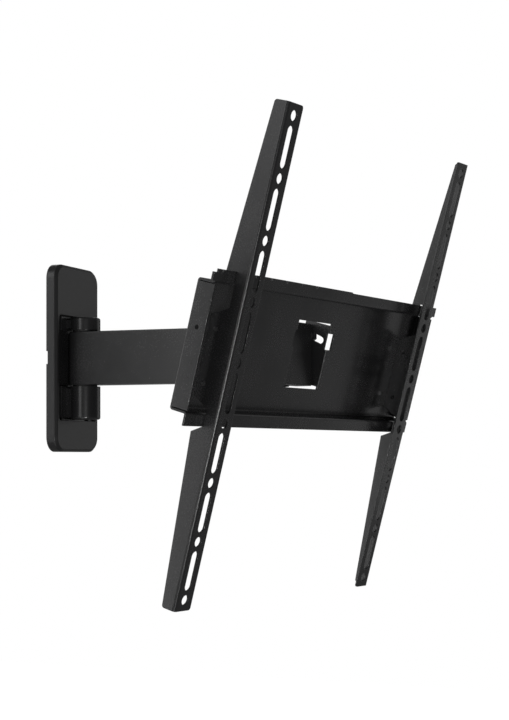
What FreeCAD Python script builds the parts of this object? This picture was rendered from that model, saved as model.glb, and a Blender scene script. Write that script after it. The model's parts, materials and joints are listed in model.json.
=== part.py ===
import FreeCAD, Part
import math
import os
import Sketcher

# Full motion wall mount for a television.
#
# Object frame, millimetres: origin at the centre of the wall plate's back face, +X to the
# right when facing the wall, +Y into the wall, +Z up.  The arm swings on the wall hinge, the
# yoke swivels on the arm's outer end and the head tilts on the yoke.
#
# Each sub-part is drawn in the frame of the piece that it moves with:
#   wall    the object frame itself
#   arm     origin on the wall hinge axis, +X along the arm to the swivel axis
#   swivel  origin on the swivel axis, +X along the head's width, +Y back towards the wall
#   head    origin at the centre of the strips' front plane, +X along the head's width,
#           +Y back from that plane, +Z up along the strips

os.makedirs("parts", exist_ok=True)
doc = FreeCAD.newDocument("tv_wall_mount")


# ---------------------------------------------------------------- sizes

SIZES = [
    # pose of the joints at rest, degrees
    ("arm_turn", 3.25, "arm's turn about Z from straight out of the wall"),
    ("head_turn", -10.13, "head's turn about Z from facing straight out"),
    ("head_tilt", 15.29, "head's tilt, face down"),
    ("tilt_travel", 21.6, "tilt joint's whole travel"),
    # fits
    ("running_gap", 0.05, "radial running clearance of pins in bushes"),
    ("seat_gap", 0.1, "clearance of pieces that only seat in each other"),
    ("axial_play", 0.1, "end play at each thrust face"),
    # wall plate
    ("plate_width", 70, "wall plate across X"),
    ("plate_height", 160, "wall plate along Z"),
    ("plate_sheet", 2.5, "wall plate thickness"),
    ("plate_corner", 8, "wall plate corner radius"),
    ("wall_hole_radius", 4.25, "half the width of a wall screw slot"),
    ("wall_slot_length", 16, "end to end length of a wall screw slot"),
    ("wall_hole_across", 40, "distance between the wall slots across X"),
    ("wall_hole_up", 142, "distance between the wall slots along Z"),
    # wall cover
    ("cover_width", 80.8, "cover across X"),
    ("cover_height", 174.8, "cover along Z"),
    ("cover_depth", 10.8, "cover's stand out from the wall"),
    ("cover_wall", 2, "cover shell thickness"),
    ("cover_bevel", 2.5, "bevel round the cover's front"),
    ("cover_softness", 1, "rounding of that bevel's two rims"),
    ("cover_corner", 14, "cover corner radius"),
    ("opening_width", 70, "opening round the hinge across X"),
    ("opening_margin", 1.1, "opening's edge above and below the hinge ears"),
    ("opening_corner", 3, "corner radius of the opening"),
    ("cover_notch_height", 12, "notch at the wall in each side"),
    ("cover_notch_depth", 1.4, "depth of that notch from the wall"),
    ("post_side", 3, "side of the cover's square inner posts"),
    ("post_inset", 1, "post's distance inside the wall plate's edge"),
    # wall hinge
    ("hinge_out", 18.3, "hinge axis in front of the wall"),
    ("barrel_radius", 14.5, "hinge ear barrel radius"),
    ("barrel_edge", 2, "rounding of the barrel's outer end"),
    ("neck_width", 24, "neck between barrel and foot"),
    ("foot_width", 44, "foot that is welded to the wall plate"),
    ("foot_sheet", 3, "foot thickness"),
    ("foot_reach", 4, "foot's reach past the barrel's end"),
    ("upper_ear_height", 11.9, "height of the upper ear"),
    ("lower_ear_height", 31.2, "height of the lower ear"),
    ("head_recess_radius", 10, "recess for the pin's head in the upper ear"),
    ("head_recess_depth", 5, "depth of that recess"),
    ("nut_recess_radius", 11, "recess for the nut in the lower ear"),
    ("nut_recess_depth", 12, "depth of that recess"),
    # pivot hardware
    ("pin_radius", 6, "pivot pin shank radius"),
    ("pin_head_radius", 9, "wall pin head radius"),
    ("pin_head_height", 3.8, "wall pin head height"),
    ("pin_end", 1, "chamfer at a pin's end"),
    ("nut_circle", 10.4, "wall pin nut, radius over its corners"),
    ("nut_height", 9, "wall pin nut height"),
    ("pin_past_nut", 1, "pin's stand out below its nut"),
    ("bush_radius", 8, "outer radius of the bushes"),
    ("bush_length", 14, "bush length inside its hub"),
    ("bush_flange_radius", 11.5, "bush flange radius"),
    ("wall_flange", 1.3, "flange thickness of the wall bushes"),
    ("head_flange", 0.6, "flange thickness of the head bushes"),
    ("hub_radius", 9.4, "outer radius of the hubs in the arm"),
    # arm
    ("arm_length", 194, "distance between the arm's two axes"),
    ("arm_height", 50, "arm along Z"),
    ("arm_top", 25.75, "arm's upper face above the centre"),
    ("arm_width", 24, "arm thickness"),
    ("arm_over", 13, "arm's reach past each axis"),
    ("arm_sheet", 2, "arm wall thickness"),
    ("arm_end_radius", 6, "radius of the arm's vertical end corners"),
    ("arm_edge_radius", 1.2, "radius of the arm's long upper edges"),
    # tilt yoke
    ("yoke_width", 54, "yoke across X"),
    ("yoke_sheet", 2.5, "yoke sheet thickness"),
    ("yoke_reach", 18.7, "swivel axis to the yoke's front face"),
    ("cheek_back", 2, "cheek's back edge in front of the swivel axis"),
    ("ear_radius", 14, "radius of the yoke ears round the axis"),
    ("yoke_edge_radius", 2.5, "radius of the yoke's outer bends"),
    ("ring_radius", 9, "radius of the swivel pin's head and ring"),
    ("ring_height", 1.2, "thickness of the swivel pin's head and ring"),
    ("ring_past", 1.2, "swivel pin's stand out below its ring"),
    ("groove_depth", 1, "depth of the ring's groove in the pin"),
    # tilt hinge
    ("pivot_ahead", 8.3, "tilt pivot in front of the swivel axis"),
    ("pivot_drop", 17.08, "tilt pivot below the object's centre"),
    ("pivot_back", 46, "tilt pivot behind the strips' front plane"),
    ("pivot_below", 12.5, "tilt pivot below the head's centre"),
    ("guide_radius", 36.2, "guide bolts' distance from the tilt pivot"),
    ("guide_angle", 6.34, "guide slot's rear end behind the head's upright, degrees"),
    ("pivot_bolt_radius", 4, "tilt pivot bolt shank radius"),
    ("guide_bolt_radius", 3, "guide bolt shank radius"),
    ("guide_slot_radius", 3.2, "half the width of the guide slots"),
    ("pivot_head_circle", 7.5, "pivot bolt heads, radius over their corners"),
    ("guide_head_circle", 5.8, "guide bolt heads, radius over their corners"),
    ("bolt_head_height", 4.5, "tilt bolt head height"),
    ("tilt_nut_circle", 7.5, "pivot nuts, radius over their corners"),
    ("tilt_nut_height", 4.2, "pivot nut height"),
    ("pivot_washer_radius", 8, "outer radius of the pivots' friction washers"),
    ("guide_washer_radius", 4.7, "outer radius of the guides' friction washers"),
    ("lug_gap", 1, "gap between a yoke cheek and a head lug"),
    # interface plate
    ("sheet", 1.8, "interface plate sheet thickness"),
    ("tray_width", 375, "interface plate across its end walls"),
    ("tray_top", 61.4, "upper flange's top face above the head's centre"),
    ("tray_bottom", 46.3, "lower flange's under face below the centre"),
    ("panel_back", 28, "panel's front face behind the strips' front plane"),
    ("lip_front", 13, "lips' front face behind the strips' front plane"),
    ("lip_top", 71.2, "upper lip's top edge above the centre"),
    ("lip_bottom", 56, "lower lip's bottom edge below the centre"),
    ("lip_overhang", 4.2, "upper lip's reach past each end wall"),
    ("lip_step", 0.9, "drop of the upper lip's right-hand stretch"),
    ("lip_step_at", 26, "where the upper lip steps down, from the centre"),
    ("lip_end_drop", 2.8, "drop of the upper lip's left end"),
    ("lip_end_at", -186, "where that drop starts, from the centre"),
    ("lip_notch_first", -181, "first index notch, from the centre"),
    ("lip_notch_pitch", 24, "distance between index notches"),
    ("lip_notch_width", 2.5, "index notch width"),
    ("lip_notch_depth", 2.25, "index notch depth"),
    ("wall_relief", 1, "gap between an end wall and a flange"),
    ("bend_radius", 2.6, "outer radius of the interface plate's bends"),
    ("window_top", 39, "window's upper edge above the centre"),
    ("window_bottom", 22, "window's lower edge below the centre"),
    ("side_notch_top", 30, "upper edge of the window's side notches"),
    ("side_notch_bottom", 15, "lower edge of the window's side notches"),
    ("side_notch_depth", 8, "depth of the window's right side notch"),
    ("left_notch_depth", 3, "depth of the window's left side notch"),
    ("notch_back", 30.8, "side notches' reach into the lugs' roots"),
    ("lug_top", 37.2, "lugs' upper edge above the centre"),
    ("lug_bottom", 19.5, "lugs' lower edge below the centre"),
    ("lug_tab_start", 52, "front of the small tab on a lug's upper edge"),
    ("lug_tab_top", 38.6, "top of that tab above the centre"),
    ("lug_end", 56, "lugs' rear edge behind the strips' front plane"),
    ("lug_corner", 6, "radius of the lugs' lower rear corners"),
    ("small_hole_radius", 2, "radius of the small tooling holes"),
    ("small_hole_back", 21, "tooling holes behind the strips' front plane"),
    ("small_hole_up", 22.6, "tooling holes above and below the centre"),
    # strips
    ("strip_spread", 300, "distance between the strips' hole lines"),
    ("strip_length", 419, "strip length"),
    ("strip_sheet", 1.5, "strip sheet thickness"),
    ("flange_inboard", 10.5, "hole line to the flange's free edge"),
    ("flange_outboard", 11.5, "hole line to the web's outer face"),
    ("strip_bend", 2.6, "outer radius of the strip's bend"),
    ("strip_corner", 2.5, "radius of the strip's free corners"),
    ("web_end_depth", 13.3, "web depth at the strip's ends"),
    ("web_deep", 23.2, "web depth beside the interface plate"),
    ("web_lower_deep", 62.4, "where the lower web reaches that depth, below the centre"),
    ("web_lower_start", 55.5, "lower web's edge under the lower lip, below the centre"),
    ("mouth_gap", 0.7, "gap between the web's mouth and the lips"),
    ("hook_length", 6, "hook's reach down behind the upper lip"),
    ("hook_gap", 0.4, "gap between hook and lip"),
    ("tongue_top", 42, "upper start of the web's tongue, above the centre"),
    ("tongue_flat_top", 33.6, "upper end of the tongue's straight edge"),
    ("tongue_flat_bottom", 33, "lower end of the tongue's straight edge, below"),
    ("tongue_bottom", 41, "lower start of the web's tongue, below the centre"),
    ("vesa_hole_radius", 4.3, "television screw hole radius"),
    ("vesa_pitch", 50, "distance between the screw holes"),
    ("vesa_slot_length", 34, "end to end length of the slots between the holes"),
    ("vesa_slot_radius", 4.25, "half the width of those slots"),
]

VESA_HOLES_EACH_WAY = 4
LIP_NOTCHES = 7

sheet = doc.addObject("Spreadsheet::Sheet", "Sizes")
for row, (alias, value, meaning) in enumerate(SIZES, start=1):
    sheet.set(f"A{row}", meaning)
    sheet.set(f"B{row}", str(value))
    sheet.setAlias(f"B{row}", alias)
doc.recompute()


class Size:
    """A length or an angle: its number, and the sheet expression that gives it."""

    def __init__(self, number, text):
        self.number = number
        self.text = text

    def __add__(self, other):
        other = as_size(other)
        return Size(self.number + other.number, f"({self.text} + {other.text})")

    def __sub__(self, other):
        other = as_size(other)
        return Size(self.number - other.number, f"({self.text} - {other.text})")

    def __mul__(self, other):
        other = as_size(other)
        return Size(self.number * other.number, f"({self.text} * {other.text})")

    def __truediv__(self, other):
        other = as_size(other)
        return Size(self.number / other.number, f"({self.text} / {other.text})")

    def __neg__(self):
        return Size(-self.number, f"(0 - {self.text})")

    def __radd__(self, other):
        return as_size(other) + self

    def __rsub__(self, other):
        return as_size(other) - self

    def __rmul__(self, other):
        return as_size(other) * self


def as_size(value):
    if isinstance(value, Size):
        return value
    return Size(float(value), f"({float(value)})")


def sine(angle):
    return Size(math.sin(math.radians(angle.number)), f"sin({angle.text})")


def cosine(angle):
    return Size(math.cos(math.radians(angle.number)), f"cos({angle.text})")


class Sizes:
    """Every cell of the sheet, as an attribute with the cell's alias."""


for alias, _, _ in SIZES:
    setattr(Sizes, alias, Size(float(sheet.get(alias)), f"Sizes.{alias}"))
Z = Sizes


# ---------------------------------------------------------------- drawing helpers

def bind(thing, name, value):
    """Give a property its number and tie it to the sheet."""
    thing.setExpression(name, as_size(value).text)


def vector(x, y, z=0.0):
    return FreeCAD.Vector(as_size(x).number, as_size(y).number, as_size(z).number)


def make_body(label):
    body = doc.addObject("PartDesign::Body", label)
    body.Label = label
    return body


def make_sketch(body, name, role, offset=0.0):
    """A sketch on one of the body's origin planes, moved along the plane's normal."""
    sketch = body.newObject("Sketcher::SketchObject", f"{body.Label}_{name}")
    plane = [item for item in body.Origin.OriginFeatures if item.Role == role][0]
    sketch.AttachmentSupport = [(plane, "")]
    sketch.MapMode = "FlatFace"
    bind(sketch, "AttachmentOffset.Base.z", offset)
    return sketch


def dimension(sketch, kind, ends, value):
    value = as_size(value)
    index = sketch.addConstraint(Sketcher.Constraint(kind, *ends, value.number))
    sketch.setExpression(f"Constraints[{index}]", value.text)


def place_point(sketch, item, point, x, y):
    dimension(sketch, "DistanceX", (-1, 1, item, point), x)
    dimension(sketch, "DistanceY", (-1, 1, item, point), y)


def draw_polygon(sketch, points):
    first = sketch.GeometryCount
    count = len(points)
    for index in range(count):
        start = vector(*points[index])
        end = vector(*points[(index + 1) % count])
        sketch.addGeometry(Part.LineSegment(start, end))
    for index in range(count):
        ends = (first + index, 2, first + (index + 1) % count, 1)
        sketch.addConstraint(Sketcher.Constraint("Coincident", *ends))
    for index, (x, y) in enumerate(points):
        place_point(sketch, first + index, 1, x, y)


def draw_rectangle(sketch, left, bottom, right, top):
    draw_polygon(sketch, [(left, bottom), (right, bottom), (right, top), (left, top)])


def draw_rounded_rectangle(sketch, low, high, radius):
    """A rectangle between two corners, with all four corners rounded."""
    centres = [
        (low[0] + radius, low[1] + radius), (high[0] - radius, low[1] + radius),
        (high[0] - radius, high[1] - radius), (low[0] + radius, high[1] - radius),
    ]
    reach = as_size(radius).number
    loop, corners = [], []
    for index, centre in enumerate(centres):
        lean = math.pi + index * math.pi / 2
        corners.append(draw_arc(sketch, *centre, radius, lean, lean + math.pi / 2))
        outward = FreeCAD.Vector(math.cos(lean + math.pi / 2), math.sin(lean + math.pi / 2), 0)
        ends = [vector(*point) + outward * reach for point in (centre, centres[(index + 1) % 4])]
        loop += [corners[-1], sketch.addGeometry(Part.LineSegment(*ends))]
    for index, item in enumerate(loop):
        joint = (item, 2, loop[(index + 1) % len(loop)], 1)
        sketch.addConstraint(Sketcher.Constraint("Tangent", *joint))
    for corner, centre in zip(corners, centres):
        place_point(sketch, corner, 3, *centre)
    for corner in corners[1:]:
        sketch.addConstraint(Sketcher.Constraint("Equal", corners[0], corner))
    dimension(sketch, "Radius", (corners[0],), radius)


def draw_circle(sketch, x, y, radius):
    radius = as_size(radius)
    circle = Part.Circle(vector(x, y), FreeCAD.Vector(0, 0, 1), radius.number)
    item = sketch.addGeometry(circle)
    place_point(sketch, item, 3, x, y)
    dimension(sketch, "Radius", (item,), radius)


def draw_arc(sketch, x, y, radius, start, end):
    circle = Part.Circle(vector(x, y), FreeCAD.Vector(0, 0, 1), as_size(radius).number)
    return sketch.addGeometry(Part.ArcOfCircle(circle, start, end))


def draw_slot(sketch, start, end, radius):
    """A straight slot between two end centres."""
    first, last = vector(*start), vector(*end)
    along = (last - first).normalize()
    side = FreeCAD.Vector(-along.y, along.x, 0) * as_size(radius).number
    lean = math.atan2(side.y, side.x)
    tail = draw_arc(sketch, *start, radius, lean, lean + math.pi)
    right = sketch.addGeometry(Part.LineSegment(first - side, last - side))
    nose = draw_arc(sketch, *end, radius, lean + math.pi, lean + 2 * math.pi)
    left = sketch.addGeometry(Part.LineSegment(last + side, first + side))
    loop = [tail, right, nose, left]
    for index, item in enumerate(loop):
        ends = (item, 2, loop[(index + 1) % 4], 1)
        sketch.addConstraint(Sketcher.Constraint("Tangent", *ends))
    sketch.addConstraint(Sketcher.Constraint("Equal", tail, nose))
    place_point(sketch, tail, 3, *start)
    place_point(sketch, nose, 3, *end)
    dimension(sketch, "Radius", (tail,), radius)


def add_feature(body, kind, name):
    feature = body.newObject(f"PartDesign::{kind}", f"{body.Label}_{name}")
    body.Tip = feature
    return feature


def pad(body, sketch, length, backwards=False):
    """Thicken a sketch along its plane's normal, or against it."""
    feature = add_feature(body, "Pad", "pad")
    feature.Profile = sketch
    bind(feature, "Length", length)
    feature.Reversed = backwards
    doc.recompute()
    return feature


def pocket(body, sketch, length, forwards=False):
    """Cut a sketch against its plane's normal, or along it."""
    before = body.Shape.Volume
    feature = add_feature(body, "Pocket", "pocket")
    feature.Profile = sketch
    bind(feature, "Length", length)
    feature.Reversed = forwards
    doc.recompute()
    if not body.Shape.Volume < before:
        raise RuntimeError(f"{feature.Name} cuts nothing")
    return feature


def revolve(body, sketch):
    """Turn a profile drawn as (radius, height) once round the body's Z axis."""
    feature = add_feature(body, "Revolution", "turned")
    feature.Profile = sketch
    feature.ReferenceAxis = (sketch, ["V_Axis"])
    feature.Angle = 360
    doc.recompute()
    return feature


def add_box(body, low, high, cut=False):
    """A block between two corners, added to the body or cut from it."""
    feature = add_feature(body, "SubtractiveBox" if cut else "AdditiveBox", "block")
    for name, axis, start, end in zip(("Length", "Width", "Height"), "xyz", low, high):
        bind(feature, name, as_size(end) - start)
        bind(feature, f"Placement.Base.{axis}", start)
    doc.recompute()


ALONG = {
    "x": FreeCAD.Rotation(FreeCAD.Vector(0, 1, 0), 90),
    "z": FreeCAD.Rotation(),
}


def add_rod(body, centre, radius, length, axis="z", cut=False):
    """A cylinder from a centre point along +X or +Z, added or cut."""
    feature = add_feature(body, "SubtractiveCylinder" if cut else "AdditiveCylinder", "rod")
    feature.Placement = FreeCAD.Placement(FreeCAD.Vector(), ALONG[axis])
    bind(feature, "Radius", radius)
    bind(feature, "Height", length)
    for name, place in zip("xyz", centre):
        bind(feature, f"Placement.Base.{name}", place)
    doc.recompute()


def straight_edges(shape, axis, **at):
    """Names of the edges along one axis whose middle lies at the given coordinates."""
    names = []
    for number, edge in enumerate(shape.Edges, start=1):
        box = edge.BoundBox
        spans = {"x": box.XLength, "y": box.YLength, "z": box.ZLength}
        across = [spans[name] for name in "xyz" if name != axis]
        if spans[axis] < 1e-3 or max(across) > 1e-3:
            continue
        middle = {"x": box.Center.x, "y": box.Center.y, "z": box.Center.z}
        if all(abs(abs(middle[name]) - abs(as_size(value).number)) < 1e-3
               for name, value in at.items()):
            names.append(f"Edge{number}")
    return names


def dress(body, kind, names, amount):
    """Fillet or chamfer the named edges of the body's last feature."""
    if not names:
        raise RuntimeError(f"{body.Label} has no edge for its {kind.lower()}")
    base = body.Tip
    feature = add_feature(body, kind, kind.lower())
    feature.Base = (base, names)
    bind(feature, "Radius" if kind == "Fillet" else "Size", amount)
    doc.recompute()


def turned_body(label, profile):
    body = make_body(label)
    sketch = make_sketch(body, "profile", "XZ_Plane")
    draw_polygon(sketch, profile)
    revolve(body, sketch)
    return body


def ring_profile(inner, outer, low, high):
    return [(inner, low), (outer, low), (outer, high), (inner, high)]


def hexagon(circle):
    """Corners of a hexagon round the origin."""
    half_flat = circle * math.sin(math.radians(60))
    return [
        (circle, 0), (circle / 2, half_flat), (-circle / 2, half_flat),
        (-circle, 0), (-circle / 2, -half_flat), (circle / 2, -half_flat),
    ]


# ---------------------------------------------------------------- frames

def turn(axis, angle):
    return FreeCAD.Rotation(FreeCAD.Vector(*axis), angle)


UP = (0, 0, 1)
RIGHT = (1, 0, 0)
WALL = FreeCAD.Placement()
HINGE = FreeCAD.Placement(vector(0, -Z.hinge_out), FreeCAD.Rotation())
ARM = FreeCAD.Placement(vector(0, -Z.hinge_out), turn(UP, Z.arm_turn.number - 90))
SWIVEL = FreeCAD.Placement(
    ARM.multVec(vector(Z.arm_length, 0)), turn(UP, Z.head_turn.number))
TILT = FreeCAD.Placement(
    vector(0, -Z.pivot_ahead, -Z.pivot_drop), turn(RIGHT, Z.head_tilt.number))
HEAD = SWIVEL * TILT * FreeCAD.Placement(
    vector(0, -Z.pivot_back, Z.pivot_below), FreeCAD.Rotation())

parts = []


def finish_part(item, place):
    """Set the sub-part in the object's frame and keep it for the export."""
    item.Placement = place
    doc.recompute()
    parts.append(item)


# heights that several pieces share
arm_bottom = Z.arm_top - Z.arm_height
upper_ear_bottom = Z.arm_top + Z.wall_flange + Z.axial_play
upper_ear_top = upper_ear_bottom + Z.upper_ear_height
lower_ear_top = arm_bottom - Z.wall_flange - Z.axial_play
lower_ear_bottom = lower_ear_top - Z.lower_ear_height


# ---------------------------------------------------------------- wall side

def make_wall_plate():
    """Steel plate that the wall screws hold, with four slots for them."""
    body = make_body("wall_plate")
    half_width, half_height = Z.plate_width / 2, Z.plate_height / 2
    outline = make_sketch(body, "outline", "XZ_Plane")
    draw_rounded_rectangle(
        outline, (-half_width, -half_height), (half_width, half_height), Z.plate_corner)
    pad(body, outline, Z.plate_sheet)
    slots = make_sketch(body, "slots", "XZ_Plane")
    reach = Z.wall_slot_length / 2 - Z.wall_hole_radius
    for side in (-1, 1):
        for level in (-1, 1):
            middle = Z.wall_hole_across / 2 * side
            height = Z.wall_hole_up / 2 * level
            draw_slot(slots, (middle - reach, height), (middle + reach, height),
                      Z.wall_hole_radius)
    pocket(body, slots, Z.plate_sheet, forwards=True)
    finish_part(body, WALL)


def make_wall_cover():
    """Moulded cover with a bevelled front and an opening round the hinge."""
    body = make_body("wall_cover")
    half_width, half_height = Z.cover_width / 2, Z.cover_height / 2
    outline = make_sketch(body, "outline", "XZ_Plane")
    draw_rounded_rectangle(
        outline, (-half_width, -half_height), (half_width, half_height), Z.cover_corner)
    pad(body, outline, Z.cover_depth)
    front = -Z.cover_depth.number
    rim = [f"Edge{number}" for number, edge in enumerate(body.Shape.Edges, start=1)
           if abs(edge.BoundBox.YMin - front) < 1e-3 and abs(edge.BoundBox.YMax - front) < 1e-3]
    dress(body, "Chamfer", rim, Z.cover_bevel)
    bevel_rims = [f"Edge{number}" for number, edge in enumerate(body.Shape.Edges, start=1)
                  if edge.BoundBox.YLength < 1e-3 and edge.BoundBox.YMax < -Z.cover_wall.number]
    dress(body, "Fillet", bevel_rims, Z.cover_softness)
    hollow = make_sketch(body, "hollow", "XZ_Plane")
    inner_width, inner_height = half_width - Z.cover_wall, half_height - Z.cover_wall
    draw_rounded_rectangle(hollow, (-inner_width, -inner_height), (inner_width, inner_height),
                           Z.cover_corner - Z.cover_wall)
    pocket(body, hollow, Z.cover_depth - Z.cover_wall, forwards=True)
    opening = make_sketch(body, "opening", "XZ_Plane")
    draw_rounded_rectangle(
        opening, (-Z.opening_width / 2, lower_ear_bottom - Z.opening_margin),
        (Z.opening_width / 2, upper_ear_top + Z.opening_margin), Z.opening_corner)
    pocket(body, opening, Z.cover_depth, forwards=True)
    for side in (-1, 1):
        outer, inner = half_width * side, (half_width - Z.cover_wall) * side
        low, high = (outer, inner) if side < 0 else (inner, outer)
        add_box(body, (low, -Z.cover_notch_depth, -Z.cover_notch_height / 2),
                (high, 0, Z.cover_notch_height / 2), cut=True)
        for level in (-1, 1):
            add_cover_post(body, side, level)
    finish_part(body, WALL)


def add_cover_post(body, side, level):
    """One square post that rests on the wall plate, at one of its corners."""
    edge = Z.plate_width / 2 - Z.post_inset
    end = Z.plate_height / 2 - Z.plate_corner
    x_low = edge - Z.post_side if side > 0 else -edge
    z_low = end - Z.post_side if level > 0 else -end
    low = (x_low, -(Z.cover_depth - Z.cover_wall), z_low)
    high = (x_low + Z.post_side, -Z.plate_sheet, z_low + Z.post_side)
    add_box(body, low, high)


def make_hinge_ear(label, bottom, height, outer_up, recess_radius, recess_depth):
    """Barrel, neck and welded foot; the recess and the foot's reach are at its outer end."""
    body = make_body(label)
    top = bottom + height
    add_rod(body, (0, -Z.hinge_out, bottom), Z.barrel_radius, height)
    outer = top if outer_up else bottom
    rim = [f"Edge{number}" for number, edge in enumerate(body.Shape.Edges, start=1)
           if edge.BoundBox.ZLength < 1e-3
           and abs(edge.BoundBox.Center.z - outer.number) < 1e-3]
    dress(body, "Fillet", rim, Z.barrel_edge)
    half_neck, half_foot = Z.neck_width / 2, Z.foot_width / 2
    add_box(body, (-half_neck, -Z.hinge_out, bottom + Z.barrel_edge),
            (half_neck, -Z.plate_sheet, top - Z.barrel_edge))
    foot_low = bottom if outer_up else bottom - Z.foot_reach
    foot_high = top + Z.foot_reach if outer_up else top
    add_box(body, (-half_foot, -Z.plate_sheet - Z.foot_sheet, foot_low),
            (half_foot, -Z.plate_sheet, foot_high))
    add_rod(body, (0, -Z.hinge_out, bottom), Z.pin_radius + Z.running_gap, height, cut=True)
    recess_low = top - recess_depth if outer_up else bottom
    add_rod(body, (0, -Z.hinge_out, recess_low), recess_radius, recess_depth, cut=True)
    finish_part(body, WALL)


def make_wall_pivot():
    """Headed pin through both ears, its nut, and the caps over the two recesses."""
    seat = upper_ear_top - Z.head_recess_depth
    nut_top = lower_ear_bottom + Z.nut_recess_depth
    pin_low = nut_top - Z.nut_height - Z.pin_past_nut
    pin = turned_body("wall_pivot_pin", [
        (0, pin_low), (Z.pin_radius - Z.pin_end, pin_low), (Z.pin_radius, pin_low + Z.pin_end),
        (Z.pin_radius, seat), (Z.pin_head_radius, seat),
        (Z.pin_head_radius, seat + Z.pin_head_height), (0, seat + Z.pin_head_height),
    ])
    finish_part(pin, HINGE)

    nut = make_body("wall_pivot_nut")
    outline = make_sketch(nut, "outline", "XY_Plane", nut_top - Z.nut_height)
    draw_polygon(outline, hexagon(Z.nut_circle))
    draw_circle(outline, 0, 0, Z.pin_radius + Z.running_gap)
    pad(nut, outline, Z.nut_height)
    finish_part(nut, HINGE)

    cap = turned_body("wall_pivot_cap", [
        (0, seat + Z.pin_head_height),
        (Z.head_recess_radius - Z.seat_gap, seat + Z.pin_head_height),
        (Z.head_recess_radius - Z.seat_gap, upper_ear_top),
        (0, upper_ear_top),
    ])
    finish_part(cap, HINGE)

    plug_radius = Z.nut_recess_radius - Z.seat_gap
    plug = turned_body("wall_pivot_plug", [
        (0, lower_ear_bottom), (plug_radius, lower_ear_bottom), (plug_radius, pin_low),
        (0, pin_low),
    ])
    finish_part(plug, HINGE)


# ---------------------------------------------------------------- arm

def draw_arm_outline(sketch, inset, radius):
    half = Z.arm_width / 2 - inset
    draw_rounded_rectangle(sketch, (inset - Z.arm_over, -half),
                           (Z.arm_length + Z.arm_over - inset, half), radius)


def make_arm_shell():
    """Pressed box open below: top, sides and rounded ends in one sheet."""
    body = make_body("arm_shell")
    outline = make_sketch(body, "outline", "XY_Plane", arm_bottom)
    draw_arm_outline(outline, as_size(0), Z.arm_end_radius)
    pad(body, outline, Z.arm_height)
    rim = [f"Edge{number}" for number, edge in enumerate(body.Shape.Edges, start=1)
           if abs(edge.BoundBox.ZMin - Z.arm_top.number) < 1e-3]
    dress(body, "Fillet", rim, Z.arm_edge_radius)
    hollow = make_sketch(body, "hollow", "XY_Plane", arm_bottom)
    draw_arm_outline(hollow, Z.arm_sheet, Z.arm_end_radius - Z.arm_sheet)
    pocket(body, hollow, Z.arm_height - Z.arm_sheet, forwards=True)
    for place in (0, Z.arm_length):
        add_rod(body, (place, 0, Z.arm_top - Z.arm_sheet), Z.bush_radius + Z.running_gap,
                Z.arm_sheet, cut=True)
    finish_part(body, ARM)


def make_arm_base():
    """Plate that closes the shell from below, flush with its edge."""
    body = make_body("arm_base_plate")
    outline = make_sketch(body, "outline", "XY_Plane", arm_bottom)
    inset = Z.arm_sheet + Z.running_gap
    draw_arm_outline(outline, inset, Z.arm_end_radius - inset)
    for place in (0, Z.arm_length):
        draw_circle(outline, place, 0, Z.bush_radius + Z.running_gap)
    pad(body, outline, Z.arm_sheet)
    finish_part(body, ARM)


def make_arm_end(name, place, flange):
    """Hub between the arm's top and base, with a flanged bush at each end."""
    axis_place = ARM * FreeCAD.Placement(vector(place, 0), FreeCAD.Rotation())
    low, high = arm_bottom + Z.arm_sheet, Z.arm_top - Z.arm_sheet
    hub = turned_body(f"arm_{name}_hub", ring_profile(
        Z.bush_radius + Z.running_gap, Z.hub_radius, low, high))
    finish_part(hub, axis_place)
    inner = Z.pin_radius + Z.running_gap
    upper = turned_body(f"arm_{name}_bush_upper", [
        (inner, Z.arm_top - Z.bush_length), (Z.bush_radius, Z.arm_top - Z.bush_length),
        (Z.bush_radius, Z.arm_top), (Z.bush_flange_radius, Z.arm_top),
        (Z.bush_flange_radius, Z.arm_top + flange), (inner, Z.arm_top + flange),
    ])
    finish_part(upper, axis_place)
    lower = turned_body(f"arm_{name}_bush_lower", [
        (inner, arm_bottom - flange), (Z.bush_flange_radius, arm_bottom - flange),
        (Z.bush_flange_radius, arm_bottom), (Z.bush_radius, arm_bottom),
        (Z.bush_radius, arm_bottom + Z.bush_length), (inner, arm_bottom + Z.bush_length),
    ])
    finish_part(lower, axis_place)


# ---------------------------------------------------------------- swivel

yoke_ear_low = Z.arm_top + Z.head_flange + Z.axial_play
yoke_top = yoke_ear_low + Z.yoke_sheet
yoke_base_high = arm_bottom - Z.head_flange - Z.axial_play
yoke_bottom = yoke_base_high - Z.yoke_sheet
cheek_outer = Z.yoke_width / 2
cheek_inner = cheek_outer - Z.yoke_sheet
lug_inner = cheek_outer + Z.lug_gap
lug_outer = lug_inner + Z.sheet

# the guide bolts stand at the slots' rear ends at rest, worked out in the swivel frame
guide_lean = Z.guide_angle - Z.head_tilt
guide_y = -Z.pivot_ahead + Z.guide_radius * sine(guide_lean)
guide_z = -Z.pivot_drop + Z.guide_radius * cosine(guide_lean)


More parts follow.
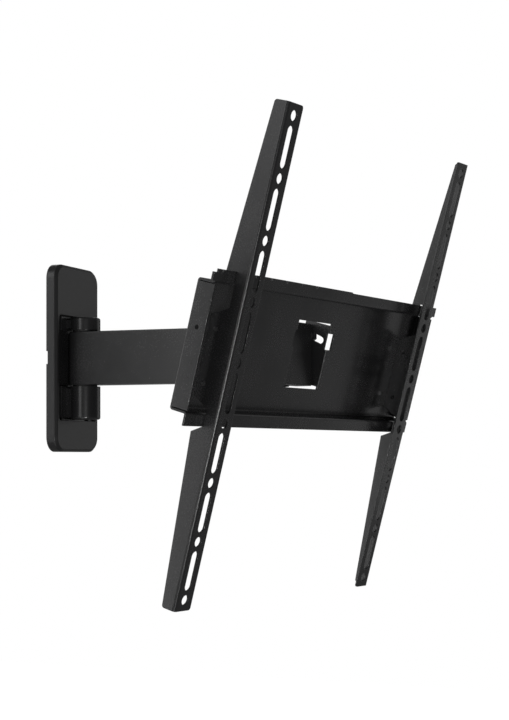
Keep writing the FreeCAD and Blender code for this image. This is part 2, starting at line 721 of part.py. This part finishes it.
def make_tilt_yoke():
    """Folded yoke: front web, two cheeks, and ears above and below the arm."""
    body = make_body("tilt_yoke")
    add_box(body, (-cheek_outer, -Z.yoke_reach, yoke_bottom),
            (cheek_outer, -Z.cheek_back, yoke_top))
    bends = straight_edges(body.Shape, "z", x=cheek_outer, y=Z.yoke_reach)
    dress(body, "Fillet", bends, Z.yoke_edge_radius)
    for level in (yoke_bottom, yoke_ear_low):
        add_box(body, (-Z.ear_radius, -Z.cheek_back, level),
                (Z.ear_radius, 0, level + Z.yoke_sheet))
        add_rod(body, (0, 0, level), Z.ear_radius, Z.yoke_sheet)
    add_box(body, (-cheek_inner, Z.yoke_sheet - Z.yoke_reach, yoke_base_high),
            (cheek_inner, Z.ear_radius, yoke_ear_low), cut=True)
    add_rod(body, (0, 0, yoke_bottom), Z.pin_radius + Z.running_gap,
            yoke_top - yoke_bottom, cut=True)
    for place, height, radius in (
            (-Z.pivot_ahead, -Z.pivot_drop, Z.pivot_bolt_radius),
            (guide_y, guide_z, Z.guide_bolt_radius)):
        for start in (-cheek_outer, cheek_inner):
            add_rod(body, (start, place, height), radius + Z.running_gap,
                    Z.yoke_sheet, axis="x", cut=True)
    finish_part(body, SWIVEL)


def make_head_pivot():
    """Flat-headed pin through the yoke's ears, held by a ring in its groove."""
    ring_low = yoke_bottom - Z.ring_height
    end = ring_low - Z.ring_past
    neck = Z.pin_radius - Z.groove_depth
    pin = turned_body("head_pivot_pin", [
        (0, end), (Z.pin_radius, end), (Z.pin_radius, ring_low), (neck, ring_low),
        (neck, yoke_bottom), (Z.pin_radius, yoke_bottom), (Z.pin_radius, yoke_top),
        (Z.ring_radius, yoke_top), (Z.ring_radius, yoke_top + Z.ring_height),
        (0, yoke_top + Z.ring_height),
    ])
    finish_part(pin, SWIVEL)
    ring = turned_body("head_pivot_ring", ring_profile(
        neck + Z.running_gap, Z.ring_radius, ring_low, yoke_bottom))
    # the ring's mouth, by which it is pushed on from the front
    add_box(ring, (-neck, -Z.ring_radius, ring_low), (neck, 0, yoke_bottom), cut=True)
    finish_part(ring, SWIVEL)


def hex_rod(name, circle, height):
    """A hexagonal prism along +Z."""
    prism = doc.addObject("Part::Prism", name)
    prism.Polygon = 6
    bind(prism, "Circumradius", circle)
    bind(prism, "Height", height)
    return prism


def round_rod(name, radius, height):
    rod = doc.addObject("Part::Cylinder", name)
    bind(rod, "Radius", radius)
    bind(rod, "Height", height)
    return rod


def place_along(item, side, start, y, z):
    """Stand a piece's +Z along +X or -X, with its base at the distance start."""
    item.Placement = FreeCAD.Placement(
        vector(start * side, y, z), turn((0, 1, 0), 90 * side))


def group(label, members, place):
    """Identical pieces in one node, as separate solids."""
    compound = doc.addObject("Part::Compound", label)
    compound.Label = label
    compound.Links = members
    finish_part(compound, place)


def make_tilt_hardware():
    """Pivot bolts with nuts, guide bolts screwed into the cheeks, and the washers of both."""
    nut_low = cheek_inner - Z.tilt_nut_height
    pivot = (-Z.pivot_ahead, -Z.pivot_drop)
    make_tilt_bolts("pivot", pivot, Z.pivot_bolt_radius, Z.pivot_head_circle, nut_low)
    make_tilt_bolts("guide", (guide_y, guide_z), Z.guide_bolt_radius, Z.guide_head_circle,
                    cheek_inner)
    make_tilt_washers("pivot", pivot, Z.pivot_bolt_radius, Z.pivot_washer_radius)
    make_tilt_washers("guide", (guide_y, guide_z), Z.guide_bolt_radius,
                      Z.guide_washer_radius)
    nuts = []
    for side, hand in ((-1, "left"), (1, "right")):
        blank = hex_rod(f"pivot_{hand}_nut_blank", Z.tilt_nut_circle, Z.tilt_nut_height)
        nuts.append(bored_piece(f"pivot_{hand}_nut", blank, Z.pivot_bolt_radius,
                                Z.tilt_nut_height, side, nut_low, *pivot))
    group("tilt_pivot_nuts", nuts, SWIVEL)


def make_tilt_bolts(kind, place, radius, head_circle, tip):
    """One bolt at each side, with its head outside the lug and its tip inside the cheek."""
    head_low = lug_outer + Z.axial_play
    bolts = []
    for side, hand in ((-1, "left"), (1, "right")):
        shank = round_rod(f"{kind}_{hand}_shank", radius, head_low - tip)
        place_along(shank, side, tip, *place)
        head = hex_rod(f"{kind}_{hand}_head", head_circle, Z.bolt_head_height)
        place_along(head, side, head_low, *place)
        bolt = doc.addObject("Part::Fuse", f"{kind}_{hand}_bolt")
        bolt.Base, bolt.Tool = shank, head
        bolts.append(bolt)
    group(f"tilt_{kind}_bolts", bolts, SWIVEL)


def make_tilt_washers(kind, place, radius, outer):
    """One friction washer at each side, between the cheek and the lug."""
    thickness = Z.lug_gap - Z.axial_play
    washers = []
    for side, hand in ((-1, "left"), (1, "right")):
        blank = round_rod(f"{kind}_{hand}_washer_blank", outer, thickness)
        washers.append(bored_piece(f"{kind}_{hand}_washer", blank, radius, thickness,
                                   side, cheek_outer, *place))
    group(f"tilt_{kind}_washers", washers, SWIVEL)


def bored_piece(name, blank, radius, thickness, side, start, y, z):
    """A nut or a washer: its blank with a hole for the bolt."""
    hole = round_rod(f"{name}_hole", radius + Z.running_gap, thickness)
    for item in (blank, hole):
        place_along(item, side, start, y, z)
    piece = doc.addObject("Part::Cut", name)
    piece.Base, piece.Tool = blank, hole
    return piece


# ---------------------------------------------------------------- head

def make_interface_plate():
    """Pressed tray with lips, index notches, a window and two tilt lugs."""
    body = make_body("interface_plate")
    half = Z.tray_width / 2
    panel_rear = Z.panel_back + Z.sheet
    lip_rear = Z.lip_front + Z.sheet
    floor_top, roof_low = Z.sheet - Z.tray_bottom, Z.tray_top - Z.sheet
    section = make_sketch(body, "section", "YZ_Plane", -half)
    draw_polygon(section, [
        (Z.lip_front, roof_low), (Z.panel_back, roof_low), (Z.panel_back, floor_top),
        (Z.lip_front, floor_top), (Z.lip_front, -Z.lip_bottom), (lip_rear, -Z.lip_bottom),
        (lip_rear, -Z.tray_bottom), (panel_rear, -Z.tray_bottom), (panel_rear, Z.tray_top),
        (lip_rear, Z.tray_top), (lip_rear, Z.lip_top), (Z.lip_front, Z.lip_top),
    ])
    pad(body, section, Z.tray_width)
    outer_bends = (
        (panel_rear, Z.tray_top), (panel_rear, Z.tray_bottom),
        (Z.lip_front, roof_low), (Z.lip_front, floor_top),
    )
    inner_bends = (
        (Z.panel_back, roof_low), (Z.panel_back, floor_top),
        (lip_rear, Z.tray_top), (lip_rear, Z.tray_bottom),
    )
    for places, radius in ((outer_bends, Z.bend_radius), (inner_bends, Z.bend_radius - Z.sheet)):
        names = []
        for y, z in places:
            names += straight_edges(body.Shape, "x", y=y, z=z)
        dress(body, "Fillet", names, radius)

    for side in (-1, 1):
        add_end_wall(body, side, half, panel_rear, floor_top, roof_low)
        add_lip_end(body, side, half, lip_rear)
    add_box(body, (Z.lip_step_at, Z.lip_front, Z.lip_top - Z.lip_step),
            (half + Z.lip_overhang, lip_rear, Z.lip_top), cut=True)
    add_box(body, (-half - Z.lip_overhang, Z.lip_front, Z.lip_top - Z.lip_end_drop),
            (Z.lip_end_at, lip_rear, Z.lip_top), cut=True)
    notches = make_sketch(body, "notches", "XZ_Plane")
    for index in range(LIP_NOTCHES):
        left = Z.lip_notch_first + Z.lip_notch_pitch * index
        draw_rectangle(notches, left, Z.lip_top - Z.lip_notch_depth,
                       left + Z.lip_notch_width, Z.lip_top)
    pocket(body, notches, lip_rear)
    add_window(body, panel_rear)
    add_lugs(body, panel_rear)
    add_tooling_holes(body)
    finish_part(body, HEAD)


def add_end_wall(body, side, half, panel_rear, floor_top, roof_low):
    """Side wall of the tray, bent forward from the panel."""
    outer, inner = half * side, (half - Z.sheet) * side
    low, high = (outer, inner) if side < 0 else (inner, outer)
    add_box(body, (low, Z.lip_front, floor_top + Z.wall_relief),
            (high, panel_rear, roof_low - Z.wall_relief))


def add_lip_end(body, side, half, lip_rear):
    """Stretch of the upper lip that reaches past the end wall."""
    start, end = (half - Z.bend_radius) * side, (half + Z.lip_overhang) * side
    low, high = (end, start) if side < 0 else (start, end)
    add_box(body, (low, Z.lip_front, Z.tray_top), (high, lip_rear, Z.lip_top))


def add_window(body, panel_rear):
    """Window in the panel, between the two lugs."""
    window = make_sketch(body, "window", "XZ_Plane", -panel_rear)
    draw_rectangle(window, -lug_inner, -Z.window_bottom, lug_inner, Z.window_top)
    pocket(body, window, Z.sheet, forwards=True)


def add_lugs(body, panel_rear):
    """Lugs bent back beside the window, with pivot holes and arc slots for the guide bolts."""
    for start in (-lug_outer, lug_inner):
        lug = make_sketch(body, "lug", "YZ_Plane", start)
        draw_polygon(lug, [
            (Z.panel_back, -Z.lug_bottom), (Z.lug_end, -Z.lug_bottom),
            (Z.lug_end, Z.lug_tab_top), (Z.lug_tab_start, Z.lug_tab_top),
            (Z.lug_tab_start, Z.lug_top), (Z.panel_back, Z.lug_top),
        ])
        pad(body, lug, Z.sheet)
        corner = straight_edges(
            body.Shape, "x", y=Z.lug_end, z=Z.lug_bottom, x=start + Z.sheet / 2)
        dress(body, "Fillet", corner, Z.lug_corner)
    bends = straight_edges(body.Shape, "z", x=lug_inner, y=Z.panel_back)
    dress(body, "Fillet", bends, Z.bend_radius - Z.sheet)
    for side, depth in ((-1, Z.left_notch_depth), (1, Z.side_notch_depth)):
        edge, end = lug_inner * side, (lug_inner + depth) * side
        low, high = (end, edge) if side < 0 else (edge, end)
        add_box(body, (low, Z.panel_back, Z.side_notch_bottom),
                (high, Z.notch_back, Z.side_notch_top), cut=True)
    through = lug_outer * 2
    holes = make_sketch(body, "pivots", "YZ_Plane", -lug_outer)
    draw_circle(holes, Z.pivot_back, -Z.pivot_below, Z.pivot_bolt_radius + Z.running_gap)
    pocket(body, holes, through, forwards=True)
    rear, front = Z.guide_angle, Z.guide_angle - Z.tilt_travel
    ends = make_sketch(body, "slot_ends", "YZ_Plane", -lug_outer)
    for lean in (rear, front):
        draw_circle(ends, *guide_place(Z.guide_radius, lean), Z.guide_slot_radius)
    pocket(body, ends, through, forwards=True)
    middle = make_sketch(body, "slot_arc", "YZ_Plane", -lug_outer)
    draw_ring_sector(middle, Z.pivot_back, -Z.pivot_below, Z.guide_radius - Z.guide_slot_radius,
                     Z.guide_radius + Z.guide_slot_radius, rear, front)
    pocket(body, middle, through, forwards=True)


def guide_place(radius, lean):
    """Point on the guide circle round the tilt pivot, at an angle behind the upright."""
    return (Z.pivot_back + radius * sine(lean), radius * cosine(lean) - Z.pivot_below)


def draw_ring_sector(sketch, x, y, inner, outer, first_lean, last_lean):
    """Part of a flat ring between two angles measured from the upright."""
    start = math.radians(90 - first_lean.number)
    end = math.radians(90 - last_lean.number)
    arcs = [draw_arc(sketch, x, y, radius, start, end) for radius in (inner, outer)]
    for arc, radius in zip(arcs, (inner, outer)):
        place_point(sketch, arc, 3, x, y)
        dimension(sketch, "Radius", (arc,), radius)
        for point, lean in ((1, first_lean), (2, last_lean)):
            dimension(sketch, "DistanceX", (-1, 1, arc, point), x + radius * sine(lean))
    for point, lean in ((1, first_lean), (2, last_lean)):
        tips = [vector(x + radius * sine(lean), y + radius * cosine(lean))
                for radius in (inner, outer)]
        line = sketch.addGeometry(Part.LineSegment(*tips))
        for arc, tip in zip(arcs, (1, 2)):
            sketch.addConstraint(Sketcher.Constraint("Coincident", line, tip, arc, point))


def add_tooling_holes(body):
    """Small holes through both end walls."""
    half = Z.tray_width / 2
    for start in (-half, half - Z.sheet):
        add_rod(body, (start, Z.small_hole_back, Z.small_hole_up), Z.small_hole_radius,
                Z.sheet, axis="x", cut=True)


def make_strip(label, side):
    """Angle strip with a row of screw holes and slots, hooked on the interface plate."""
    body = make_body(label)
    line = Z.strip_spread / 2 * side
    free, outer = line - Z.flange_inboard * side, line + Z.flange_outboard * side
    low, high = (outer, free) if side < 0 else (free, outer)
    half = Z.strip_length / 2
    flange = make_sketch(body, "flange", "XZ_Plane")
    draw_rectangle(flange, low, -half, high, half)
    pad(body, flange, Z.strip_sheet, backwards=True)

    web = make_sketch(body, "web", "YZ_Plane", outer)
    draw_polygon(web, web_outline(half))
    pad(body, web, Z.strip_sheet, backwards=side > 0)
    dress(body, "Fillet", straight_edges(body.Shape, "z", x=outer, y=0), Z.strip_bend)
    inner_bend = straight_edges(
        body.Shape, "z", x=outer - Z.strip_sheet * side, y=Z.strip_sheet)
    dress(body, "Fillet", inner_bend, Z.strip_bend - Z.strip_sheet)
    dress(body, "Fillet", straight_edges(body.Shape, "y", x=free, z=half), Z.strip_corner)
    dress(body, "Fillet", straight_edges(body.Shape, "x", y=Z.web_end_depth, z=half),
          Z.strip_corner)

    openings = make_sketch(body, "openings", "XZ_Plane")
    for step in range(-VESA_HOLES_EACH_WAY, VESA_HOLES_EACH_WAY + 1):
        draw_circle(openings, line, Z.vesa_pitch * step, Z.vesa_hole_radius)
    reach = Z.vesa_slot_length / 2 - Z.vesa_slot_radius
    for step in range(-VESA_HOLES_EACH_WAY, VESA_HOLES_EACH_WAY):
        middle = Z.vesa_pitch * (step + 0.5)
        draw_slot(openings, (line, middle - reach), (line, middle + reach), Z.vesa_slot_radius)
    pocket(body, openings, Z.strip_sheet)
    start = outer if side < 0 else outer - Z.strip_sheet
    for level in (-1, 1):
        add_rod(body, (start, Z.small_hole_back, Z.small_hole_up * level),
                Z.small_hole_radius, Z.strip_sheet, axis="x", cut=True)
    finish_part(body, HEAD)


def web_outline(half):
    """Side view of a web: tapered ends, hook over the upper lip, tongue against the panel."""
    mouth = Z.lip_front - Z.mouth_gap
    behind_lip = Z.lip_front + Z.sheet + Z.hook_gap
    return [
        (0, half), (Z.web_end_depth, half), (Z.web_deep, Z.lip_top),
        (Z.web_deep, Z.lip_top - Z.hook_length), (behind_lip, Z.lip_top - Z.hook_length),
        (behind_lip, Z.lip_top), (mouth, Z.lip_top), (mouth, Z.tongue_top),
        (Z.panel_back, Z.tongue_flat_top), (Z.panel_back, -Z.tongue_flat_bottom),
        (mouth, -Z.tongue_bottom), (mouth, -Z.web_lower_start),
        (Z.web_deep, -Z.web_lower_deep), (Z.web_end_depth, -half), (0, -half),
    ]


# ---------------------------------------------------------------- build

make_wall_plate()
make_wall_cover()
make_hinge_ear("hinge_ear_upper", upper_ear_bottom, Z.upper_ear_height, True,
               Z.head_recess_radius, Z.head_recess_depth)
make_hinge_ear("hinge_ear_lower", lower_ear_bottom, Z.lower_ear_height, False,
               Z.nut_recess_radius, Z.nut_recess_depth)
make_wall_pivot()
make_arm_shell()
make_arm_base()
make_arm_end("wall", as_size(0), Z.wall_flange)
make_arm_end("head", Z.arm_length, Z.head_flange)
make_tilt_yoke()
make_head_pivot()
make_tilt_hardware()
make_interface_plate()
make_strip("left_strip", -1)
make_strip("right_strip", 1)
doc.recompute()

for item in doc.Objects:
    if "Invalid" in item.State or "Error" in item.State:
        raise RuntimeError(f"{item.Name} failed: {item.State}")
for part in parts:
    if part.Shape.isNull() or not part.Shape.isValid() or not part.Shape.Solids:
        raise RuntimeError(f"{part.Label} has no sound shape")
for part in parts:
    part.Shape.exportStep(f"parts/{part.Label}.step")
    box = part.Shape.BoundBox
    print(f"{part.Label:24s} solids {len(part.Shape.Solids)}  volume {part.Shape.Volume:10.1f}  "
          f"{box.XLength:6.1f} x {box.YLength:6.1f} x {box.ZLength:6.1f}")
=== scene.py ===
import json
import math
import bmesh
import bpy
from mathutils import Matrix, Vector

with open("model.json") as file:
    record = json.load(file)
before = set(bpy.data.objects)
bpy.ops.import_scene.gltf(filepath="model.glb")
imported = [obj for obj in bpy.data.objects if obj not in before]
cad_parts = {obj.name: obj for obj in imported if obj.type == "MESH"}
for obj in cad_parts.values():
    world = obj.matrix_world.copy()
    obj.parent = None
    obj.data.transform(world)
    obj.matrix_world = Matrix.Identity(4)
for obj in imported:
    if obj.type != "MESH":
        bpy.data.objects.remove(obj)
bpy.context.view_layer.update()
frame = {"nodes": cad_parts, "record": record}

MM = 0.001


# ---------------------------------------------------------------- camera

CAMERA_PLACE = Vector((-1.299, -0.7455, -0.09305))
CAMERA_TURN = math.radians(-66.94)
CAMERA_LENS = 78.25
CAMERA_SENSOR = 36.0
CAMERA_SHIFT_UP = 0.136


def make_camera():
    data = bpy.data.cameras.new("camera")
    data.lens = CAMERA_LENS
    data.sensor_width = CAMERA_SENSOR
    data.shift_y = CAMERA_SHIFT_UP
    data.clip_end = 50.0
    camera = bpy.data.objects.new("camera", data)
    camera.location = CAMERA_PLACE
    camera.rotation_euler = (math.radians(90), 0, CAMERA_TURN)
    bpy.context.collection.objects.link(camera)
    bpy.context.scene.camera = camera


# ---------------------------------------------------------------- light

def make_world(seen, fill):
    """White to the camera, dimmer as a light."""
    world = bpy.data.worlds.new("studio")
    bpy.context.scene.world = world
    world.use_nodes = True
    tree = world.node_tree
    dim = tree.nodes["Background"]
    dim.inputs["Color"].default_value = (1, 1, 1, 1)
    dim.inputs["Strength"].default_value = fill
    bright = tree.nodes.new("ShaderNodeBackground")
    bright.inputs["Color"].default_value = (1, 1, 1, 1)
    bright.inputs["Strength"].default_value = seen
    rays = tree.nodes.new("ShaderNodeLightPath")
    mix = tree.nodes.new("ShaderNodeMixShader")
    tree.links.new(rays.outputs["Is Camera Ray"], mix.inputs["Fac"])
    tree.links.new(dim.outputs["Background"], mix.inputs[1])
    tree.links.new(bright.outputs["Background"], mix.inputs[2])
    tree.links.new(mix.outputs["Shader"], tree.nodes["World Output"].inputs["Surface"])


def softbox(name, place, target, width, height, power):
    data = bpy.data.lights.new(name, "AREA")
    data.shape = "RECTANGLE"
    data.size = width
    data.size_y = height
    data.energy = power
    lamp = bpy.data.objects.new(name, data)
    lamp.location = place
    aim = Vector(target) - Vector(place)
    lamp.rotation_euler = aim.to_track_quat("-Z", "Y").to_euler()
    lamp.visible_camera = False
    bpy.context.collection.objects.link(lamp)


def make_lights():
    middle = (0.0, -0.2, 0.0)
    softbox("arm_side", (-1.1, 0.13, 0.1), middle, 0.25, 1.0, 1.5)
    softbox("rear_left", (-0.75, 0.75, 0.1), middle, 0.35, 1.6, 4.8)
    softbox("high_left", (-1.3, 0.5, 0.9), middle, 0.9, 1.2, 3.6)
    softbox("front_right", (1.4, -0.9, 0.2), middle, 0.5, 1.5, 1.2)
    softbox("rear_right", (1.3, 0.9, 0.6), middle, 0.8, 1.2, 3.0)
    softbox("rear_wall", (-0.2, 1.5, 0.4), middle, 1.0, 1.0, 5.0)
    softbox("low_left", (-0.8, -0.3, -1.0), middle, 0.8, 0.6, 2.4)
    softbox("bend_line", (-1.4, -1.0, -0.5), middle, 0.05, 0.4, 8.0)


# ---------------------------------------------------------------- materials

class Shader:
    """A small helper round one material's node tree."""

    def __init__(self, name):
        self.material = bpy.data.materials.new(name)
        self.material.use_nodes = True
        self.tree = self.material.node_tree
        self.surface = self.tree.nodes["Principled BSDF"]
        coordinates = self.tree.nodes.new("ShaderNodeTexCoord")
        self.place = coordinates.outputs["Object"]

    def node(self, kind, **inputs):
        item = self.tree.nodes.new(kind)
        for name, value in inputs.items():
            self.feed(item.inputs[name], value)
        return item

    def feed(self, socket, value):
        if isinstance(value, bpy.types.NodeSocket):
            self.tree.links.new(value, socket)
        else:
            socket.default_value = value

    def noise(self, scale, detail=2.0, roughness=0.5, stretch=None):
        vector = self.place
        if stretch:
            mapping = self.node("ShaderNodeMapping", Vector=vector)
            mapping.inputs["Scale"].default_value = stretch
            vector = mapping.outputs["Vector"]
        item = self.node("ShaderNodeTexNoise", Vector=vector, Scale=scale, Detail=detail,
                         Roughness=roughness)
        return item.outputs["Fac"]

    def cells(self, scale):
        item = self.node("ShaderNodeTexVoronoi", Vector=self.place, Scale=scale)
        return item.outputs["Distance"]

    def spread(self, value, low, high, out_low, out_high):
        item = self.node("ShaderNodeMapRange", Value=value)
        item.inputs["From Min"].default_value = low
        item.inputs["From Max"].default_value = high
        item.inputs["To Min"].default_value = out_low
        item.inputs["To Max"].default_value = out_high
        return item.outputs["Result"]

    def math(self, operation, first, second):
        item = self.tree.nodes.new("ShaderNodeMath")
        item.operation = operation
        self.feed(item.inputs[0], first)
        self.feed(item.inputs[1], second)
        return item.outputs["Value"]

    def mix(self, share, first, second):
        item = self.tree.nodes.new("ShaderNodeMix")
        item.data_type = "RGBA"
        self.feed(item.inputs["Factor"], share)
        self.feed(item.inputs["A"], first)
        self.feed(item.inputs["B"], second)
        return item.outputs["Result"]

    def soft_edge(self, radius):
        """Normal that is rounded near the edges, and how near an edge a point is."""
        bevel = self.tree.nodes.new("ShaderNodeBevel")
        bevel.samples = 6
        bevel.inputs["Radius"].default_value = radius
        geometry = self.tree.nodes.new("ShaderNodeNewGeometry")
        dot = self.tree.nodes.new("ShaderNodeVectorMath")
        dot.operation = "DOT_PRODUCT"
        self.tree.links.new(bevel.outputs["Normal"], dot.inputs[0])
        self.tree.links.new(geometry.outputs["Normal"], dot.inputs[1])
        near = self.spread(dot.outputs["Value"], 0.995, 0.80, 0.0, 1.0)
        return bevel.outputs["Normal"], near

    def bump(self, height, strength, distance, normal=None):
        item = self.node("ShaderNodeBump", Height=height, Strength=strength, Distance=distance)
        if normal is not None:
            self.tree.links.new(normal, item.inputs["Normal"])
        return item.outputs["Normal"]

    def finish(self, colour, roughness, normal, metallic=0.0, coat=0.0, specular=0.5):
        self.feed(self.surface.inputs["Base Color"], colour)
        self.feed(self.surface.inputs["Roughness"], roughness)
        self.feed(self.surface.inputs["Metallic"], metallic)
        self.feed(self.surface.inputs["Specular IOR Level"], specular)
        self.feed(self.surface.inputs["Coat Weight"], coat)
        self.feed(self.surface.inputs["Coat Roughness"], 0.25)
        self.feed(self.surface.inputs["Normal"], normal)
        return self.material


def powder_coat(name, tint, gloss, grain):
    """Black powder coat: fine orange peel, slow changes of gloss, thin lighter edges that are
    partly wear and partly a painted highlight.
    """
    shader = Shader(name)
    edge_normal, near_edge = shader.soft_edge(0.7 * MM)
    peel = shader.noise(900, 3.0, 0.55)
    speck = shader.cells(1500)
    patches = shader.noise(22, 4.0, 0.6)
    # Painted highlight and wear: the coat's colour is lightened along the edges, partly as
    # rubbed wear and partly as a painted edge highlight.
    wear_and_highlight_noise = shader.noise(160, 5.0, 0.65)
    wear_and_edge_highlight = shader.math("MULTIPLY", near_edge, shader.spread(wear_and_highlight_noise, 0.45, 0.62, 0.15, 1.0))
    dark = tuple(0.9 * channel for channel in tint) + (1,)
    light = tuple(1.1 * channel for channel in tint) + (1,)
    body = shader.mix(shader.spread(patches, 0.35, 0.65, 0.0, 1.0), dark, light)
    rubbed_and_highlight_colour = tuple(min(1.0, 3.2 * channel) for channel in tint) + (1,)
    colour = shader.mix(wear_and_edge_highlight, body, rubbed_and_highlight_colour)
    rough = shader.spread(patches, 0.3, 0.7, gloss - 0.02, gloss + 0.03)
    rough = shader.math("ADD", rough, shader.spread(peel, 0.3, 0.7, -0.03, 0.03))
    rough = shader.math("SUBTRACT", rough, shader.math("MULTIPLY", wear_and_edge_highlight, 0.08))
    height = shader.math("ADD", peel, shader.math("MULTIPLY", speck, 0.35))
    normal = shader.bump(height, grain, 0.06 * MM, edge_normal)
    return shader.finish(colour, rough, normal)


def moulded_plastic(name, tint, gloss):
    """Black moulding with a fine spark-eroded texture, softened edges and a painted highlight
    along the edges.
    """
    shader = Shader(name)
    edge_normal, near_edge = shader.soft_edge(0.9 * MM)
    texture = shader.cells(1100)
    fine = shader.noise(2200, 2.0, 0.5)
    patches = shader.noise(18, 3.0, 0.5)
    dark = tuple(0.85 * channel for channel in tint) + (1,)
    light = tuple(1.2 * channel for channel in tint) + (1,)
    body = shader.mix(patches, dark, light)
    # Painted highlight: the edges are made lighter in colour.
    painted_edge_highlight = tuple(1.8 * channel for channel in tint) + (1,)
    colour = shader.mix(shader.math("MULTIPLY", near_edge, 0.5), body, painted_edge_highlight)
    rough = shader.spread(fine, 0.3, 0.7, gloss - 0.05, gloss + 0.05)
    height = shader.math("ADD", texture, shader.math("MULTIPLY", fine, 0.4))
    normal = shader.bump(height, 0.16, 0.08 * MM, edge_normal)
    return shader.finish(colour, rough, normal, specular=0.4)


def black_zinc(name, tint):
    """Blackened steel fasteners with fine turning marks and lighter corners, partly rubbed
    wear and partly a painted highlight.
    """
    shader = Shader(name)
    edge_normal, near_edge = shader.soft_edge(0.5 * MM)
    marks = shader.noise(2600, 3.0, 0.5, stretch=(1.0, 1.0, 0.12))
    stains = shader.noise(240, 4.0, 0.6)
    dark = tuple(0.7 * channel for channel in tint) + (1,)
    light = tuple(1.4 * channel for channel in tint) + (1,)
    body = shader.mix(shader.spread(stains, 0.35, 0.65, 0.0, 1.0), dark, light)
    # Lighter corners: partly rubbed wear, partly a painted edge highlight.
    rubbed_and_highlight_colour = (0.16, 0.155, 0.15, 1)
    wear_and_edge_highlight = shader.math("MULTIPLY", near_edge, shader.spread(stains, 0.4, 0.6, 0.2, 0.9))
    colour = shader.mix(wear_and_edge_highlight, body, rubbed_and_highlight_colour)
    rough = shader.spread(stains, 0.3, 0.7, 0.30, 0.44)
    normal = shader.bump(marks, 0.25, 0.03 * MM, edge_normal)
    return shader.finish(colour, rough, normal, metallic=0.55)


def dark_nylon(name, tint):
    """Matt bearing plastic with a faint mottled flow pattern and a painted highlight along the
    edges.
    """
    shader = Shader(name)
    edge_normal, near_edge = shader.soft_edge(0.5 * MM)
    flow = shader.noise(120, 5.0, 0.6, stretch=(1.0, 1.0, 2.5))
    fine = shader.noise(1800, 2.0, 0.5)
    dark = tuple(0.8 * channel for channel in tint) + (1,)
    light = tuple(1.3 * channel for channel in tint) + (1,)
    body = shader.mix(flow, dark, light)
    # Painted highlight: the edges are made lighter in colour.
    painted_edge_highlight = tuple(1.7 * channel for channel in tint) + (1,)
    colour = shader.mix(shader.math("MULTIPLY", near_edge, 0.6), body, painted_edge_highlight)
    rough = shader.spread(fine, 0.3, 0.7, 0.50, 0.64)
    normal = shader.bump(fine, 0.2, 0.05 * MM, edge_normal)
    return shader.finish(colour, rough, normal, specular=0.4)


def make_finishes():
    return {
        "black_steel": powder_coat("black_powder_coat", (0.016, 0.016, 0.0165), 0.25, 0.07),
        "black_plastic": moulded_plastic("black_moulding", (0.014, 0.014, 0.0145), 0.34),
        "black_hardware": black_zinc("black_zinc", (0.030, 0.030, 0.032)),
        "nylon": dark_nylon("dark_nylon", (0.026, 0.026, 0.026)),
    }


def paint(obj, material):
    obj.data.materials.clear()
    obj.data.materials.append(material)


# ---------------------------------------------------------------- floor

FLOOR_DROP = 0.9
FLOOR_HALF = 4.0


def make_floor():
    """Plain white ground, far enough below that it throws no light on the mount."""
    mesh = bmesh.new()
    bmesh.ops.create_grid(mesh, x_segments=2, y_segments=2, size=FLOOR_HALF)
    data = bpy.data.meshes.new("floor")
    mesh.to_mesh(data)
    mesh.free()
    floor = bpy.data.objects.new("floor", data)
    floor.location = (0, 0, -FLOOR_DROP)
    floor.visible_diffuse = False
    floor.visible_glossy = False
    floor.visible_shadow = False
    bpy.context.collection.objects.link(floor)
    material = bpy.data.materials.new("pale_floor")
    material.use_nodes = True
    surface = material.node_tree.nodes["Principled BSDF"]
    surface.inputs["Base Color"].default_value = (0.85, 0.85, 0.85, 1)
    surface.inputs["Roughness"].default_value = 0.9
    surface.inputs["Emission Color"].default_value = (1, 1, 1, 1)
    surface.inputs["Emission Strength"].default_value = 1.0
    paint(floor, material)


# ---------------------------------------------------------------- scene

make_camera()
make_world(1.0, 0.15)
make_lights()
make_floor()
bpy.context.scene.view_settings.view_transform = "Standard"
finishes = make_finishes()
slot_of = {entry["node"]: entry["material_slot"] for entry in frame["record"]["subparts"]}
for name, node in frame["nodes"].items():
    paint(node, finishes[slot_of[name]])
